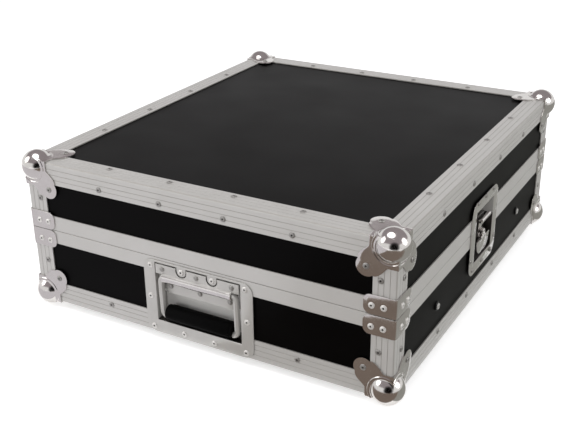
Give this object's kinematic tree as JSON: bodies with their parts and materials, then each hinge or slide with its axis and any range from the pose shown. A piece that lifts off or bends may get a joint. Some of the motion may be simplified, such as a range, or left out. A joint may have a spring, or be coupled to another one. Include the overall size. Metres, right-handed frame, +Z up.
{
  "type": "slant mixer flight case",
  "caption": "Level-seamed road case with lift-off lid, ball corners, recessed sprung handle, butterfly latches and sloping rack rails inside for a mixer.",
  "frame": {"origin": "on the ground below the middle of the case, at the lowest point of its ball corners", "axes": "+Z up, -Y out of the front face with the carrying handle, +X to the case's right"},
  "size_m": [0.556, 0.621, 0.228],
  "materials": {
    "laminate": "plywood with a satin black laminate",
    "aluminium": "satin extrusion with long grooves",
    "polished_steel": "polished nickel-plated steel",
    "zinc": "bright zinc-plated pressed steel",
    "rubber": "matte ribbed moulding",
    "birch": "bare birch plywood",
    "rail_steel": "black powder coat",
    "foam": "open-cell charcoal foam"
  },
  "bodies": {
    "base": {"base_panel_front": "laminate", "base_panel_back": "laminate", "base_panel_left": "laminate", "base_panel_right": "laminate", "base_upright_front_right": "aluminium", "base_brace_front_right": "polished_steel", "base_upright_back_right": "aluminium", "base_brace_back_right": "polished_steel", "base_upright_back_left": "aluminium", "base_brace_back_left": "polished_steel", "base_upright_front_left": "aluminium", "base_brace_front_left": "polished_steel", "base_rim_front": "aluminium", "base_rim_back": "aluminium", "base_panel_bottom": "laminate", "bottom_edge_extrusion": "aluminium", "ball_corner_bottom_front_right": "polished_steel", "ball_corner_bottom_back_right": "polished_steel", "ball_corner_bottom_back_left": "polished_steel", "ball_corner_bottom_front_left": "polished_steel", "handle_dish": "zinc", "handle_hinge_bracket": "zinc", "latch_dish_right": "zinc", "rack_cheek_right": "birch", "rack_rail_right": "rail_steel", "latch_dish_left": "zinc", "rack_cheek_left": "birch", "rack_rail_left": "rail_steel"},
    "lid": {"lid_panel_front": "laminate", "lid_panel_back": "laminate", "lid_panel_left": "laminate", "lid_panel_right": "laminate", "lid_upright_front_right": "aluminium", "lid_brace_front_right": "polished_steel", "lid_upright_back_right": "aluminium", "lid_brace_back_right": "polished_steel", "lid_upright_back_left": "aluminium", "lid_brace_back_left": "polished_steel", "lid_upright_front_left": "aluminium", "lid_brace_front_left": "polished_steel", "lid_rim_front": "aluminium", "lid_rim_back": "aluminium", "lid_panel_top": "laminate", "top_edge_extrusion": "aluminium", "ball_corner_top_front_right": "polished_steel", "ball_corner_top_back_right": "polished_steel", "ball_corner_top_back_left": "polished_steel", "ball_corner_top_front_left": "polished_steel", "latch_keeper_right": "zinc", "latch_keeper_left": "zinc", "lid_foam_pad": "foam"},
    "handle": {"handle_bail": "zinc", "handle_grip": "rubber"},
    "latch_spindle_right": {"latch_spindle_right": "zinc"},
    "latch_wing_right": {"latch_wing_right": "zinc"},
    "latch_hook_right": {"latch_hook_right": "zinc"},
    "latch_spindle_left": {"latch_spindle_left": "zinc"},
    "latch_wing_left": {"latch_wing_left": "zinc"},
    "latch_hook_left": {"latch_hook_left": "zinc"}
  },
  "joints": [
    {"name": "lid_lift", "type": "slide", "parent": "base", "child": "lid", "axis": [0, 0, 1], "range_m": [0, 0.15]},
    {"name": "handle_swing", "type": "hinge", "parent": "base", "child": "handle", "pos_m": [0, -0.2995, 0.0945], "axis": [-1, 0, 0], "range_deg": [0, 90], "stiffness_Nm_per_rad": 0.25, "springref_deg": -28.65},
    {"name": "latch_turn_right", "type": "hinge", "parent": "base", "child": "latch_spindle_right", "pos_m": [0.2675, 0, 0.0985], "axis": [1, 0, 0], "range_deg": [0, 180]},
    {"name": "wing_fold_right", "type": "hinge", "parent": "latch_spindle_right", "child": "latch_wing_right", "pos_m": [0.2675, 0, 0.0985], "axis": [0, -1, 0], "range_deg": [0, 90]},
    {"name": "hook_slide_right", "type": "slide", "parent": "base", "child": "latch_hook_right", "axis": [0, 0, 1], "range_m": [0, 0.005]},
    {"name": "latch_turn_left", "type": "hinge", "parent": "base", "child": "latch_spindle_left", "pos_m": [-0.2675, 0, 0.0985], "axis": [-1, 0, 0], "range_deg": [0, 180]},
    {"name": "wing_fold_left", "type": "hinge", "parent": "latch_spindle_left", "child": "latch_wing_left", "pos_m": [-0.2675, 0, 0.0985], "axis": [0, 1, 0], "range_deg": [0, 90]},
    {"name": "hook_slide_left", "type": "slide", "parent": "base", "child": "latch_hook_left", "axis": [0, 0, 1], "range_m": [0, 0.005]}
  ],
  "couplings": [
    {"joint": "hook_slide_right", "follows": "latch_turn_right", "m_per_rad": 0.00159},
    {"joint": "hook_slide_left", "follows": "latch_turn_left", "m_per_rad": 0.00159}
  ]
}
